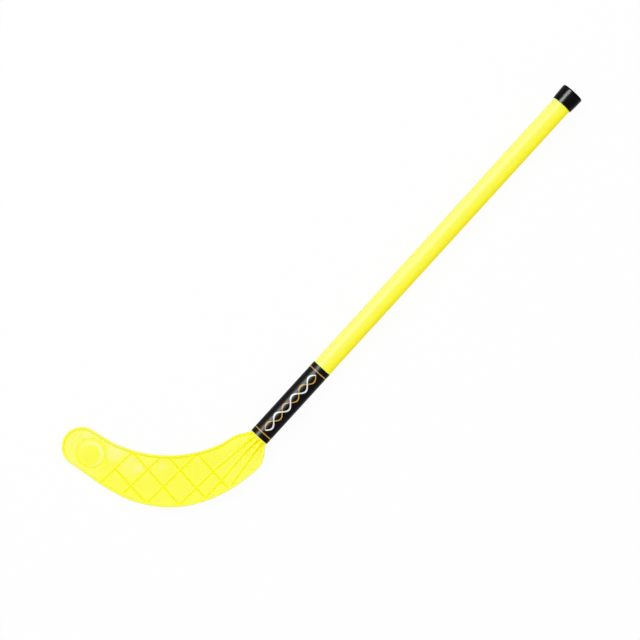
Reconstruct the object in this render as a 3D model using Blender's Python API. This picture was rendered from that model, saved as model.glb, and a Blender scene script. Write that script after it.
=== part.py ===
"""Floorball stick for school play, lying at rest with its shaft along +X.

The blade is one plastic moulding: a thin web with a raised rim, a lattice of ribs on both
faces, a domed disc inside a ring groove in the toe, and a fluted neck that turns from the
flat blade into a round collar and a cored spigot. The tube is pushed over the spigot and
held by two screws at the back, a printed film covers the joint, and a push-on cap closes
the top.

Sizes are in metres. The stick frame has X up the shaft from the film's lower end, Y in the
blade's plane towards the toe, and Z out of the blade's front face. The blade's outline is
drawn in sketch axes: U along the blade from toe to heel and V across it, turned from the
shaft by the lie angle.
"""

import math

import bpy
import numpy as np

MM = 0.001

# Shaft tube
SHAFT_OD = 28.0 * MM
SHAFT_WALL = 2.5 * MM
SHAFT_LENGTH = 627.5 * MM
TUBE_CHAMFER = 0.5 * MM

# Clearance between pieces that seat on each other
SEAT_GAP = 0.3 * MM

# Printed film round the joint
FILM_LENGTH = 127.6 * MM
FILM_THICKNESS = 0.25 * MM
FILM_GAP = 0.1 * MM

# Push-on end cap
CAP_LENGTH = 23.4 * MM
CAP_WALL = 1.15 * MM
CAP_FLARE = 0.95 * MM
CAP_END_WALL = 2.3 * MM
CAP_LIP = 5.0 * MM
CAP_EDGE_RADIUS = 2.0 * MM
CAP_MOUTH_ROUND = 0.5 * MM

# Blade sections
LIE_ANGLE = math.radians(47.66)
WEB_THICKNESS = 3.6 * MM
RIM_THICKNESS = 9.0 * MM
RIM_WIDTH = 4.2 * MM
RIM_ROUND = 1.0 * MM
RIM_DRAFT = 1.9 * MM
RIB_WIDTH = 5.0 * MM
RIB_TOP_WIDTH = 1.8 * MM
RIB_RISE = 1.2 * MM
CROSSING_STEP = 0.2 * MM

# Blade outline in the sketch axes: upper edge from neck to toe, toe arc, lower edge to heel
UPPER_EDGE = np.array([
    (-20.8, 5.6), (-33.6, 2.0), (-51.6, -8.9), (-82.8, -20.2),
    (-120.0, -25.2), (-158.2, -21.8), (-195.4, -9.7), (-217.5, 3.0),
]) * MM
TOE_CENTRE = np.array([-243.0, -13.6]) * MM
TOE_RADIUS = 27.5 * MM
LOWER_EDGE = np.array([
    (-235.4, -52.3), (-209.2, -70.1), (-173.7, -87.6), (-128.0, -96.3), (-85.2, -91.5),
    (-45.5, -75.5), (-12.9, -53.3), (1.9, -39.2), (6.6, -27.7), (7.7, -17.9),
]) * MM
EDGE_STEPS = 5
TOE_STEPS = 18

# Lattice: two families of straight ribs, each at its own slope, start and pitch
RISING_SLOPE = math.radians(44.1)
RISING_START = 43.2 * MM
RISING_PITCH = 31.9 * MM
RISING_COUNT = 3
FALLING_SLOPE = math.radians(-48.5)
FALLING_START = 77.6 * MM
FALLING_PITCH = 32.5 * MM
FALLING_COUNT = 4

# Fan ribs in the stick frame, from the collar down to the lower edge
FAN_RIBS = [
    np.array([(1.0, 4.8), (-19.0, 7.9), (-47.0, 11.5), (-74.0, 15.0), (-150.0, 19.3)]) * MM,
    np.array([(1.0, -1.8), (-19.0, -0.3), (-40.0, 0.2), (-62.0, -0.8), (-120.0, -1.4)]) * MM,
    np.array([(1.0, -7.6), (-25.0, -9.8), (-53.0, -13.0), (-90.0, -18.5)]) * MM,
]
FAN_STATIONS = 16
PATH_POINTS = 2000

# Groove round the toe's disc, and the low dome inside it, in the sketch axes
RING_CENTRE = np.array([-229.9, -23.1]) * MM
RING_RADIUS = 20.0 * MM
GROOVE_WIDTH = 4.2 * MM
GROOVE_FLOOR = 1.6 * MM
GROOVE_DEPTH = 0.9 * MM
DOME_RISE = 1.4 * MM
DOME_RINGS = 5

# Neck, collar and spigot
COLLAR_SHOWN = 2.0 * MM
COLLAR_UNDER_FILM = 8.0 * MM
FLUTE_DEPTH = 2.6 * MM
NECK_LENGTH = 78.0 * MM
NECK_FALL = 1.5
NECK_FLARE = math.radians(40.0)
NECK_EDGE = 2.8 * MM
NECK_STEPS = 48
NECK_STATIONS = 20
RIDGE_DROP = 0.4 * MM
SUNK = 0.8 * MM
SPIGOT_LENGTH = 62.0 * MM
SPIGOT_CHAMFER = 1.2 * MM
CORE_BORE = 14.0 * MM
CORE_ROOT = 12.0 * MM

# Two countersunk screws at the back, one near the tube's end and one short of the spigot's tip
SCREW_EDGE = 15.7 * MM
SCREW_TIP_MARGIN = 22.3 * MM
SCREW_HEAD_OD = 6.0 * MM
SCREW_SHANK_OD = 3.5 * MM
SCREW_LENGTH = 9.5 * MM
SCREW_LAND = 0.3 * MM
SCREW_SINK = 0.4 * MM

ROUND_STEPS = 64
SCREW_STEPS = 24
SMOOTH_ANGLE = math.radians(35.0)

SHAFT_RADIUS = SHAFT_OD / 2
TUBE_START = COLLAR_UNDER_FILM + SEAT_GAP
TUBE_END = TUBE_START + SHAFT_LENGTH
CAP_END = TUBE_END + SEAT_GAP + CAP_END_WALL
CAP_MOUTH_RADIUS = SHAFT_RADIUS + SEAT_GAP + CAP_WALL
CAP_END_RADIUS = CAP_MOUTH_RADIUS + CAP_FLARE
SPIGOT_RADIUS = SHAFT_RADIUS - SHAFT_WALL - SEAT_GAP
SPIGOT_TIP = TUBE_START + SPIGOT_LENGTH
SCREW_PLACES = [TUBE_START + SCREW_EDGE, SPIGOT_TIP - SCREW_TIP_MARGIN]
RIB_HALF = WEB_THICKNESS / 2 + RIB_RISE

YELLOW = (0.95, 0.90, 0.03, 1.0)
BLACK_FILM = (0.012, 0.012, 0.014, 1.0)
BLACK_CAP = (0.015, 0.015, 0.015, 1.0)
ZINC = (0.62, 0.62, 0.60, 1.0)


def clear_scene():
    """Remove what the file opened with."""
    for obj in list(bpy.data.objects):
        bpy.data.objects.remove(obj, do_unlink=True)


def make_material(name, colour, roughness, metallic=0.0):
    """A plain Principled material."""
    material = bpy.data.materials.new(name)
    material.use_nodes = True
    shader = material.node_tree.nodes["Principled BSDF"]
    shader.inputs["Base Color"].default_value = colour
    shader.inputs["Roughness"].default_value = roughness
    shader.inputs["Metallic"].default_value = metallic
    return material


def skin(name, rings, parent, closed=False):
    """Loft a solid through rings of equal point count, capped at its ends unless it closes."""
    rings = np.asarray(rings)
    count, around = rings.shape[:2]
    faces = []
    for i in range(count if closed else count - 1):
        here, there = i * around, (i + 1) % count * around
        for j in range(around):
            k = (j + 1) % around
            faces.append((here + j, here + k, there + k, there + j))
    if not closed:
        faces.append(tuple(range(around))[::-1])
        faces.append(tuple(range((count - 1) * around, count * around)))
    mesh = bpy.data.meshes.new(name)
    mesh.from_pydata(rings.reshape(-1, 3).tolist(), [], faces)
    mesh.validate()
    obj = bpy.data.objects.new(name, mesh)
    bpy.context.scene.collection.objects.link(obj)
    obj.parent = parent
    return obj


def turned(name, profile, steps, parent, closed=False):
    """Turn a profile of (radius, height) points about Z, counted so that faces look outwards."""
    profile = np.asarray(profile)
    angle = np.arange(steps) * 2 * math.pi / steps
    radius, height = profile[:, 0, None], profile[:, 1, None]
    rings = np.stack([
        radius * np.cos(angle),
        radius * np.sin(angle),
        height + 0 * angle,
    ], axis=-1)
    return skin(name, rings, parent, closed)


def along_shaft(obj):
    """Lay an object turned about its Z axis along the shaft."""
    obj.rotation_euler = (0.0, math.radians(90.0), 0.0)
    return obj


def shade_round(obj):
    """Smooth shading that keeps the real edges sharp."""
    obj.data.shade_smooth()
    obj.data.set_sharp_from_angle(angle=SMOOTH_ANGLE)


def combine(obj, name, tools, operation):
    """Join or cut with other objects all at once; they stay as hidden tools in a collection."""
    group = bpy.data.collections.new(name)
    for tool in tools:
        tool.hide_render = True
        tool.hide_set(True)
        tool.display_type = "WIRE"
        group.objects.link(tool)
    modifier = obj.modifiers.new(name, "BOOLEAN")
    modifier.operation = operation
    modifier.solver = "EXACT"
    modifier.operand_type = "COLLECTION"
    modifier.collection = group


def spline(points, steps):
    """Centripetal Catmull-Rom curve through the points, with steps pieces between neighbours."""
    points = np.asarray(points)
    ends = np.vstack([2 * points[0] - points[1], points, 2 * points[-1] - points[-2]])
    curve = []
    for i in range(len(points) - 1):
        p = ends[i:i + 4]
        t = np.concatenate([[0.0], np.cumsum(np.linalg.norm(np.diff(p, axis=0), axis=1) ** 0.5)])
        s = np.linspace(t[1], t[2], steps, endpoint=False)[:, None]
        a = [p[j] + (p[j + 1] - p[j]) * (s - t[j]) / (t[j + 1] - t[j]) for j in range(3)]
        b = [a[j] + (a[j + 1] - a[j]) * (s - t[j]) / (t[j + 2] - t[j]) for j in range(2)]
        curve.append(b[0] + (b[1] - b[0]) * (s - t[1]) / (t[2] - t[1]))
    return np.vstack(curve + [points[-1:]])


def to_stick(sketch):
    """Turn sketch points (u, v) into the stick frame (x, y)."""
    sketch = np.asarray(sketch)
    u, v = sketch[..., 0], sketch[..., 1]
    c, s = math.cos(LIE_ANGLE), math.sin(LIE_ANGLE)
    return np.stack([u * c + v * s, v * c - u * s], axis=-1)


def touching_angle(point, side):
    """Direction from the toe centre to where a straight line from the point touches the arc."""
    away = point - TOE_CENTRE
    half = math.acos(min(TOE_RADIUS / np.linalg.norm(away), 1.0))
    return math.atan2(away[1], away[0]) + side * half


def toe_arc():
    """Arc round the toe that runs smoothly out of the upper edge and into the lower one."""
    start = touching_angle(UPPER_EDGE[-1], 1)
    end = touching_angle(LOWER_EDGE[0], -1) % (2 * math.pi)
    angle = np.linspace(start, end, TOE_STEPS)
    return TOE_CENTRE + TOE_RADIUS * np.stack([np.cos(angle), np.sin(angle)], axis=-1)


def blade_outline():
    """Closed outline in the stick frame, counter-clockwise, with its neck end inside the collar.

    The outline leaves the collar where the collar is as thick as the rim.
    """
    root = math.sqrt(SHAFT_RADIUS ** 2 - (RIM_THICKNESS / 2) ** 2)
    start, lap = -COLLAR_SHOWN / 2, COLLAR_UNDER_FILM / 2
    upper = spline(np.vstack([[(start, root)], to_stick(UPPER_EDGE)]), EDGE_STEPS)
    lower = spline(np.vstack([to_stick(LOWER_EDGE), [(start, -root)]]), EDGE_STEPS)
    return np.vstack([[(lap, root)], upper, to_stick(toe_arc()), lower, [(lap, -root)]])


def inset(loop, distance):
    """Move a counter-clockwise loop inwards by a distance, with mitred corners."""
    back = loop - np.roll(loop, 1, axis=0)
    ahead = np.roll(loop, -1, axis=0) - loop
    back = back / np.linalg.norm(back, axis=1)[:, None]
    ahead = ahead / np.linalg.norm(ahead, axis=1)[:, None]
    middle = back + ahead
    middle = middle / np.linalg.norm(middle, axis=1)[:, None]
    inward = np.stack([-middle[:, 1], middle[:, 0]], axis=-1)
    miter = np.sum(middle * ahead, axis=1)[:, None]
    return loop + inward * distance / miter


def edge_distance(loop, points):
    """Shortest distance from each point to the loop's sides."""
    start = loop[None]
    side = np.roll(loop, -1, axis=0)[None] - start
    along = np.sum((points[:, None] - start) * side, axis=2) / np.sum(side * side, axis=2)
    foot = start + np.clip(along, 0.0, 1.0)[..., None] * side
    return np.linalg.norm(points[:, None] - foot, axis=2).min(axis=1)


def inside(loop, points):
    """True for points inside the loop, by the even-odd rule."""
    x, y = points[:, 0, None], points[:, 1, None]
    x0, y0 = loop[:, 0], loop[:, 1]
    x1, y1 = np.roll(x0, -1), np.roll(y0, -1)
    straddles = (y0 > y) != (y1 > y)
    rise = np.where(y1 == y0, 1.0, y1 - y0)
    crossing = x0 + (y - y0) * (x1 - x0) / rise
    return np.sum(straddles & (x < crossing), axis=1) % 2 == 1


def span_at(loop, x):
    """Lowest and highest y of the loop at a place x along the stick."""
    a, b = loop, np.roll(loop, -1, axis=0)
    hit = (a[:, 0] > x) != (b[:, 0] > x)
    share = (x - a[hit, 0]) / (b[hit, 0] - a[hit, 0])
    y = a[hit, 1] + share * (b[hit, 1] - a[hit, 1])
    return y.min(), y.max()


def soft_max(a, b):
    """The larger of two heights, with a rounded change between them."""
    return (a ** 4 + b ** 4) ** 0.25


def neck_fall(x):
    """Share of the neck's roundness left at x: one at the collar, none past the neck."""
    left = np.clip(1.0 + x / NECK_LENGTH, 0.0, 1.0)
    return left ** NECK_FALL


def at_height(loop, height):
    """A flat loop set at one height."""
    return np.column_stack([loop, np.full(len(loop), height)])


def rim_profile():
    """Rim section as (inset, height) pairs from the web's edge up over the rim to its side."""
    top = RIM_THICKNESS / 2
    angle = np.radians([0.0, 30.0, 60.0, 90.0])
    corner = [(RIM_ROUND * (1 - math.cos(a)), top - RIM_ROUND * (1 - math.sin(a))) for a in angle]
    inner_round = RIM_ROUND / 2
    inner = [(RIM_WIDTH - RIM_DRAFT - inner_round, top), (RIM_WIDTH - RIM_DRAFT, top - inner_round)]
    return [(RIM_WIDTH, WEB_THICKNESS / 2)] + inner[::-1] + corner[::-1]


def moulded_plate(outline, parent):
    """The web and its rim on both faces, lofted through inset copies of the outline."""
    front = [at_height(inset(outline, d), h) for d, h in rim_profile()]
    back = [loop * (1, 1, -1) for loop in front[::-1]]
    return skin("blade", (front + back)[::-1], parent)


def rib(name, path, keep, height_at, stations, parent):
    """A drafted bar along a flat path, standing as far out of one face as of the other.

    Each of its four long edges is a copy of the path set off sideways, and runs as far as
    keep lets it, so that the rib's ends follow the rim however they meet it.
    """
    heading = np.gradient(path, axis=0)
    heading = heading / np.linalg.norm(heading, axis=1)[:, None]
    across = np.stack([-heading[:, 1], heading[:, 0]], axis=-1)
    edges = []
    for width in (RIB_WIDTH / 2, RIB_TOP_WIDTH / 2, -RIB_TOP_WIDTH / 2, -RIB_WIDTH / 2):
        edge = path + across * width
        edge = edge[keep(edge)]
        edges.append(edge[np.linspace(0, len(edge) - 1, stations).astype(int)])
    rings = []
    for foot_a, top_a, top_b, foot_b in zip(*edges):
        height = height_at((top_a + top_b) / 2)
        base = height - RIB_RISE
        rings.append([
            (*foot_a, -base), (*foot_a, base), (*top_a, height), (*top_b, height),
            (*foot_b, base), (*foot_b, -base), (*top_b, -height), (*top_a, -height),
        ])
    return skin(name, rings, parent)


def within_rim(outline, points):
    """True for points that lie inside the rim's middle line."""
    return inside(outline, points) & (edge_distance(outline, points) > RIM_WIDTH / 2)


def lattice_line(slope, offset, reach):
    """Straight line at a slope, its distance from the neck given by offset."""
    heading = np.array([math.cos(slope), math.sin(slope)])
    normal = np.array([abs(heading[1]), -heading[0] * math.copysign(1.0, slope)])
    line = -normal * offset + heading * np.linspace(-reach, reach, PATH_POINTS)[:, None]
    return to_stick(line)


def lattice_ribs(outline, parent):
    """Rising ribs from edge to edge, and falling ribs that stop at the last rising one."""
    reach = np.ptp(outline, axis=0).max()
    last = RISING_START + RISING_PITCH * (RISING_COUNT - 1)
    towards_neck = to_stick(np.array([math.sin(RISING_SLOPE), -math.cos(RISING_SLOPE)]))

    def edge_to_edge(points):
        return within_rim(outline, points)

    def up_to_last_rising(points):
        return within_rim(outline, points) & (points @ towards_neck > -last)

    ribs = []
    for i in range(RISING_COUNT):
        line = lattice_line(RISING_SLOPE, RISING_START + RISING_PITCH * i, reach)
        ribs.append(rib(f"rising_rib_{i + 1}", line, edge_to_edge, lattice_height, 2, parent))
    for i in range(FALLING_COUNT):
        line = lattice_line(FALLING_SLOPE, FALLING_START + FALLING_PITCH * i, reach)
        ribs.append(rib(f"falling_rib_{i + 1}", line, up_to_last_rising, lower_height, 2, parent))
    return ribs


def lattice_height(point):
    """Half the thickness across a rising rib, the same everywhere."""
    return RIB_HALF


def lower_height(point):
    """Half the thickness across a falling rib, a touch lower than the ribs it crosses."""
    return RIB_HALF - CROSSING_STEP


def ridge_height(point):
    """Half the thickness across a fan rib: flush with the collar there, then down to the lattice."""
    half_width = SHAFT_RADIUS + max(-point[0], 0.0) * math.tan(NECK_FLARE)
    shoulder = abs(point[1]) + RIB_TOP_WIDTH / 2
    crown = math.sqrt(1 - (shoulder / half_width) ** 2)
    ridge = (SHAFT_RADIUS - RIDGE_DROP) * neck_fall(point[0]) * crown
    return soft_max(RIB_HALF - CROSSING_STEP / 2, ridge)


def fan_ribs(outline, parent):
    """Ribs that leave the round collar as deep ridges and run out into the lattice."""
    def within(points):
        return within_rim(outline, points)

    ribs = []
    for i, points in enumerate(FAN_RIBS):
        path = spline(points, PATH_POINTS // len(points))
        ribs.append(rib(f"fan_rib_{i + 1}", path, within, ridge_height, FAN_STATIONS, parent))
    return ribs


def neck_core(outline, parent):
    """Loft of ellipses from the round collar to a blade that hides inside the web."""
    root = SHAFT_RADIUS - FLUTE_DEPTH
    buried = WEB_THICKNESS / 2 - SUNK
    angle = np.arange(NECK_STEPS) * 2 * math.pi / NECK_STEPS
    rings = []
    for x in np.linspace(COLLAR_UNDER_FILM / 4, -NECK_LENGTH, NECK_STATIONS):
        low, high = span_at(outline, x)
        middle, half = (low + high) / 2, (high - low) / 2 - NECK_EDGE
        depth = soft_max(buried, root * neck_fall(x))
        rings.append(np.column_stack([
            np.full(len(angle), x),
            middle + half * np.cos(angle),
            depth * np.sin(angle),
        ]))
    return skin("neck_core", rings[::-1], parent)


def collar_and_spigot(parent):
    """Round collar of the tube's size, and the cored spigot that goes up inside the tube."""
    bore = CORE_BORE / 2
    profile = [
        (SHAFT_RADIUS, -COLLAR_SHOWN),
        (SHAFT_RADIUS, COLLAR_UNDER_FILM),
        (SPIGOT_RADIUS, COLLAR_UNDER_FILM),
        (SPIGOT_RADIUS, SPIGOT_TIP - SPIGOT_CHAMFER),
        (SPIGOT_RADIUS - SPIGOT_CHAMFER, SPIGOT_TIP),
        (bore, SPIGOT_TIP),
        (bore, TUBE_START + CORE_ROOT),
    ]
    return along_shaft(turned("collar_and_spigot", profile, ROUND_STEPS, parent))


def toe_dome(parent):
    """Low dome on both faces of the toe, one lens through the web."""
    share = np.linspace(1 / DOME_RINGS, 1.0, DOME_RINGS)
    height = WEB_THICKNESS / 2 + DOME_RISE * (1 - share ** 2)
    front = list(zip(RING_RADIUS * share, height))
    back = [(radius, -h) for radius, h in front]
    dome = turned("toe_dome", back + front[::-1], ROUND_STEPS, parent)
    dome.location = (*to_stick(RING_CENTRE), 0.0)
    return dome


def toe_groove(name, turn, parent):
    """Cutter for the ring groove round the dome, turned over for the back face."""
    floor = WEB_THICKNESS / 2 - GROOVE_DEPTH
    slope = (GROOVE_WIDTH - GROOVE_FLOOR) / 2 / GROOVE_DEPTH
    rise = RIM_THICKNESS / 2 - floor
    inner, outer = RING_RADIUS - GROOVE_FLOOR / 2, RING_RADIUS + GROOVE_FLOOR / 2
    profile = [
        (inner - slope * rise, floor + rise),
        (inner, floor),
        (outer, floor),
        (outer + slope * rise, floor + rise),
    ]
    groove = turned(name, profile, ROUND_STEPS, parent, closed=True)
    groove.location = (*to_stick(RING_CENTRE), 0.0)
    groove.rotation_euler = (turn, 0.0, 0.0)
    return groove


def screw_profile(grow):
    """Half section of a countersunk screw from its head up to its tip, grown all round by grow."""
    head, shank = SCREW_HEAD_OD / 2, SCREW_SHANK_OD / 2
    cone = head - shank
    return [
        (head + grow, -grow),
        (head + grow, SCREW_LAND),
        (shank + grow, SCREW_LAND + cone),
        (shank + grow, SCREW_LENGTH - shank),
        (shank / 4 + grow, SCREW_LENGTH + grow),
    ]


def screw_at(name, place, grow, parent):
    """A screw, or the hole that clears it, driven in from the back at a place up the shaft."""
    screw = turned(name, screw_profile(grow), SCREW_STEPS, parent)
    screw.location = (place, 0.0, SCREW_SINK - SHAFT_RADIUS)
    return screw


def build_blade(parent, holes):
    """The moulded blade with its collar and spigot, as one solid."""
    outline = blade_outline()
    blade = moulded_plate(outline, parent)
    features = [toe_dome(parent), neck_core(outline, parent), collar_and_spigot(parent)]
    features += fan_ribs(outline, parent) + lattice_ribs(outline, parent)
    grooves = [toe_groove("front_groove", 0.0, parent), toe_groove("back_groove", math.pi, parent)]
    combine(blade, "blade_features", features, "UNION")
    combine(blade, "blade_cuts", grooves + holes, "DIFFERENCE")
    return blade


def build_tube(parent, holes):
    """The hollow shaft, with countersunk holes for the screws."""
    inner = SHAFT_RADIUS - SHAFT_WALL
    c = TUBE_CHAMFER
    profile = [
        (inner, TUBE_START), (SHAFT_RADIUS - c, TUBE_START), (SHAFT_RADIUS, TUBE_START + c),
        (SHAFT_RADIUS, TUBE_END - c), (SHAFT_RADIUS - c, TUBE_END), (inner, TUBE_END),
    ]
    tube = along_shaft(turned("shaft_tube", profile, ROUND_STEPS, parent, closed=True))
    combine(tube, "tube_cuts", holes, "DIFFERENCE")
    return tube


def build_film(parent):
    """The printed film, a thin sleeve over collar and tube."""
    inner = SHAFT_RADIUS + FILM_GAP
    outer = inner + FILM_THICKNESS
    profile = [(inner, 0.0), (outer, 0.0), (outer, FILM_LENGTH), (inner, FILM_LENGTH)]
    return along_shaft(turned("label_sleeve", profile, ROUND_STEPS, parent, closed=True))


def build_cap(parent):
    """The push-on cap: a flared cup with a lip and a rounded end edge."""
    inner = SHAFT_RADIUS + SEAT_GAP
    mouth = CAP_END - CAP_LENGTH
    seat = TUBE_END + SEAT_GAP
    m = CAP_MOUTH_ROUND
    r = CAP_EDGE_RADIUS
    profile = [
        (inner, seat),
        (inner, mouth),
        (CAP_MOUTH_RADIUS - m, mouth),
        (CAP_MOUTH_RADIUS, mouth + m),
        (CAP_END_RADIUS - m, CAP_END - CAP_LIP - m),
        (CAP_END_RADIUS, CAP_END - CAP_LIP),
    ]
    for angle in np.radians([0.0, 22.5, 45.0, 67.5, 90.0]):
        edge = CAP_END_RADIUS - r * (1 - math.cos(angle))
        profile.append((edge, CAP_END - r * (1 - math.sin(angle))))
    return along_shaft(turned("end_cap", profile, ROUND_STEPS, parent))


def rest_roll():
    """Angle that lowers the toe until its rim and the cap lie on the same floor."""
    rim = RIM_THICKNESS / 2
    toe = blade_outline()[:, 1].max()
    return math.asin(CAP_END_RADIUS / math.hypot(toe, rim)) - math.atan2(rim, toe)


def world_bounds(objects):
    """Lowest and highest corner of the evaluated objects."""
    graph = bpy.context.evaluated_depsgraph_get()
    corners = []
    for obj in objects:
        shown = obj.evaluated_get(graph)
        points = np.empty(len(shown.data.vertices) * 3, dtype=np.float32)
        shown.data.vertices.foreach_get("co", points)
        matrix = np.array(shown.matrix_world)
        corners.append(points.reshape(-1, 3) @ matrix[:3, :3].T + matrix[:3, 3])
    corners = np.vstack(corners)
    return corners.min(axis=0), corners.max(axis=0)


def main():
    """Build the pieces, then lay the stick on the floor under its own centre."""
    clear_scene()
    stick = bpy.data.objects.new("stick", None)
    bpy.context.scene.collection.objects.link(stick)

    holes = [screw_at(f"screw_hole_{i + 1}", x, SEAT_GAP, stick) for i, x in enumerate(SCREW_PLACES)]
    blade = build_blade(stick, holes)
    tube = build_tube(stick, holes)
    film = build_film(stick)
    cap = build_cap(stick)
    screws = [screw_at(f"blade_screw_{i + 1}", x, 0.0, stick) for i, x in enumerate(SCREW_PLACES)]

    yellow_blade = make_material("yellow_moulding", YELLOW, 0.38)
    yellow_tube = make_material("yellow_tube", YELLOW, 0.32)
    blade.data.materials.append(yellow_blade)
    tube.data.materials.append(yellow_tube)
    film.data.materials.append(make_material("black_film", BLACK_FILM, 0.15))
    cap.data.materials.append(make_material("black_cap", BLACK_CAP, 0.35))
    zinc = make_material("zinc_screw", ZINC, 0.35, 1.0)
    for screw in screws:
        screw.data.materials.append(zinc)

    pieces = [blade, tube, film, cap] + screws
    for piece in pieces:
        shade_round(piece)
    stick.rotation_euler = (-rest_roll(), 0.0, 0.0)
    bpy.context.view_layer.update()
    low, high = world_bounds(pieces)
    stick.location = (-(low[0] + high[0]) / 2, -(low[1] + high[1]) / 2, -low[2])
    bpy.context.view_layer.update()


main()
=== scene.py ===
"""Looks of a floorball stick that lies on a pale studio floor.

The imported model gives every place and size. Each visible piece is rebuilt as a fine surface in
the stick's own axes: X up the shaft from the film's lower end, Y in the blade's plane towards
the toe, and Z out of the blade's front face. Lengths in this file are in metres, and places in
its materials are in millimetres of the same axes.
"""

import math

import bpy
import numpy as np
from bpy.props import FloatProperty, FloatVectorProperty, PointerProperty
from mathutils import Matrix, Vector, geometry


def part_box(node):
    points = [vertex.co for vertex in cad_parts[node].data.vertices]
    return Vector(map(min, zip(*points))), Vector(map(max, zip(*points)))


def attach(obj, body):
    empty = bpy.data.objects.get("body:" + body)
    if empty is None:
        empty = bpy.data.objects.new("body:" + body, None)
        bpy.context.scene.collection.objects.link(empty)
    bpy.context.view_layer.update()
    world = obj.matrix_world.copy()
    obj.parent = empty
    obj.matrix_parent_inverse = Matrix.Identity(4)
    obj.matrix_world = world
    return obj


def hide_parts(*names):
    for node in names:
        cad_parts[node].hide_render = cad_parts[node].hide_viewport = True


bl_info = {
    "name": "Floorball stick",
    "version": (1, 0, 0),
    "blender": (4, 5, 0),
    "location": "3D View > Sidebar > Stick",
    "description": "Builds a floorball stick with a moulded lattice blade on a studio floor",
    "category": "Add Mesh",
}

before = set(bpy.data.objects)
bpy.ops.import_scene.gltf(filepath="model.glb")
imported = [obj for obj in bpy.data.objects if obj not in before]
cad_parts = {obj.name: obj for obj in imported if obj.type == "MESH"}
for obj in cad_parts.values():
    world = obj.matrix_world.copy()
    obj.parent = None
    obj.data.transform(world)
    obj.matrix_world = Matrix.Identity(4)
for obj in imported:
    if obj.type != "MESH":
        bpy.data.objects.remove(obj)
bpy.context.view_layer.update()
FILM_LOW, FILM_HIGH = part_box("label_sleeve")
TUBE_LOW, TUBE_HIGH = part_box("shaft_tube")
CAP_LOW, CAP_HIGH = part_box("end_cap")

MM = 0.001
LIE_ANGLE = math.radians(47.66)

# Sizes that the rest pose is worked out from, and how far apart it reads the outline
SHAFT_DIAMETER = 28.0 * MM
RIM_THICKNESS = 9.0 * MM
ROLL_SPACING = 0.9 * MM

# Blade outline in sketch axes (U from toe to heel, V across), as the solid has it
UPPER_EDGE = np.array([
    (-20.8, 5.6), (-33.6, 2.0), (-51.6, -8.9), (-82.8, -20.2),
    (-120.0, -25.2), (-158.2, -21.8), (-195.4, -9.7), (-217.5, 3.0),
]) * MM
TOE_CENTRE = np.array([-243.0, -13.6]) * MM
TOE_RADIUS = 27.5 * MM
LOWER_EDGE = np.array([
    (-235.4, -52.3), (-209.2, -70.1), (-173.7, -87.6), (-128.0, -96.3), (-85.2, -91.5),
    (-45.5, -75.5), (-12.9, -53.3), (1.9, -39.2), (6.6, -27.7), (7.7, -17.9),
]) * MM

# Outline: where its edges start, how far they lap into the collar, and its points and spacing
EDGE_START = -1.0 * MM
EDGE_LAP = 4.0 * MM
ARC_POINTS = 200
EDGE_STEPS = 40
OUTLINE_SPACING = 0.95 * MM

# Rim: how far in its crest starts, round and draft of its side, points, and fine parting ridge
RIM_CREST = 1.7 * MM
RIM_ROUND = 1.5 * MM
RIM_DRAFT = 0.12 * MM
SLOPE_POINTS = 15
ROUND_POINTS = 7
PARTING_FOOT = 0.22 * MM
PARTING_TOP = 0.05 * MM
PARTING_RISE = 0.07 * MM

# Toe's disc: middle in sketch axes, half width and power of its groove, points outwards and round
DISC_CENTRE = np.array([-229.9, -23.1]) * MM
GROOVE_HALF = 2.3 * MM
GROOVE_POWER = 0.7
DISC_POINTS = 25
DISC_STEPS = 160

# Neck: where it starts in the collar, how far in its sides lie, the power by which it flattens, its
# points, and where it is read for the ribs
NECK_START = 2.0 * MM
NECK_EDGE = 2.8 * MM
NECK_POWER = 1.5
NECK_SECTIONS = 90
NECK_POINTS = 80
NECK_READINGS = 160
READING_END = 3.0 * MM

# Lattice families: slope, distance of the first rib from the neck, pitch, count
RISING = (math.radians(44.1), 43.2 * MM, 31.9 * MM, 3)
FALLING = (math.radians(-48.5), 77.6 * MM, 32.5 * MM, 4)

# How much lower the falling ribs are, and half the length and the points of an uncut line
CROSSING_STEP = 0.2 * MM
LINE_REACH = 0.4
LINE_POINTS = 3000

# Fan ribs from the collar to the lower edge, in the stick's axes, and steps between their points
FAN_PATHS = [
    np.array([(1.0, 4.8), (-19.0, 7.9), (-47.0, 11.5), (-74.0, 15.0), (-150.0, 19.3)]) * MM,
    np.array([(1.0, -1.8), (-19.0, -0.3), (-40.0, 0.2), (-62.0, -0.8), (-120.0, -1.4)]) * MM,
    np.array([(1.0, -7.6), (-25.0, -9.8), (-53.0, -13.0), (-90.0, -18.5)]) * MM,
]
FAN_STEPS = 400

# Crest of a fan rib on the neck: how its round spreads, and how far it lies in and under it
RIDGE_FLARE = math.radians(40.0)
RIDGE_SHIFT = 1.2 * MM
RIDGE_DROP = 0.4 * MM

# Ribs: width from foot to foot, points across and along, and how far ribs and neck are sunk so that
# no two faces lie in one plane
RIB_WIDTH = 5.6 * MM
RIB_POINTS = 21
LATTICE_STATIONS = 60
FAN_STATIONS = 100
RIB_SINK = 0.04 * MM
NECK_SINK = 0.03 * MM

# Painted shading: a painted highlight below 0, plain at 0, painted shade at 1 and amber painted shade
# at 2.
# It lies in the groove, on the rim's slope (its shaded side in sketch axes, with a painted highlight on
# the lit side), by the collar, and how it leans to one flank of a rib, with a painted highlight on the
# other
GROOVE_SHADE = 0.6
GROOVE_SPREAD = 1.8 * MM
RIM_HIGHLIGHT = 0.15
SHADED_SIDE = np.array([-0.6, 0.8])
SHADE_START = 0.1
SHADE_RAMP = 0.6
SLOPE_END = 1.2 * MM
NECK_SHADE = 1.3
NECK_SHADE_REACH = 16.0 * MM
RIB_SHADE = 1.2
RIB_SHADE_REACH = 28.0 * MM
RIB_LEAN = 0.45
RIB_HIGHLIGHT = 0.7

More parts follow.
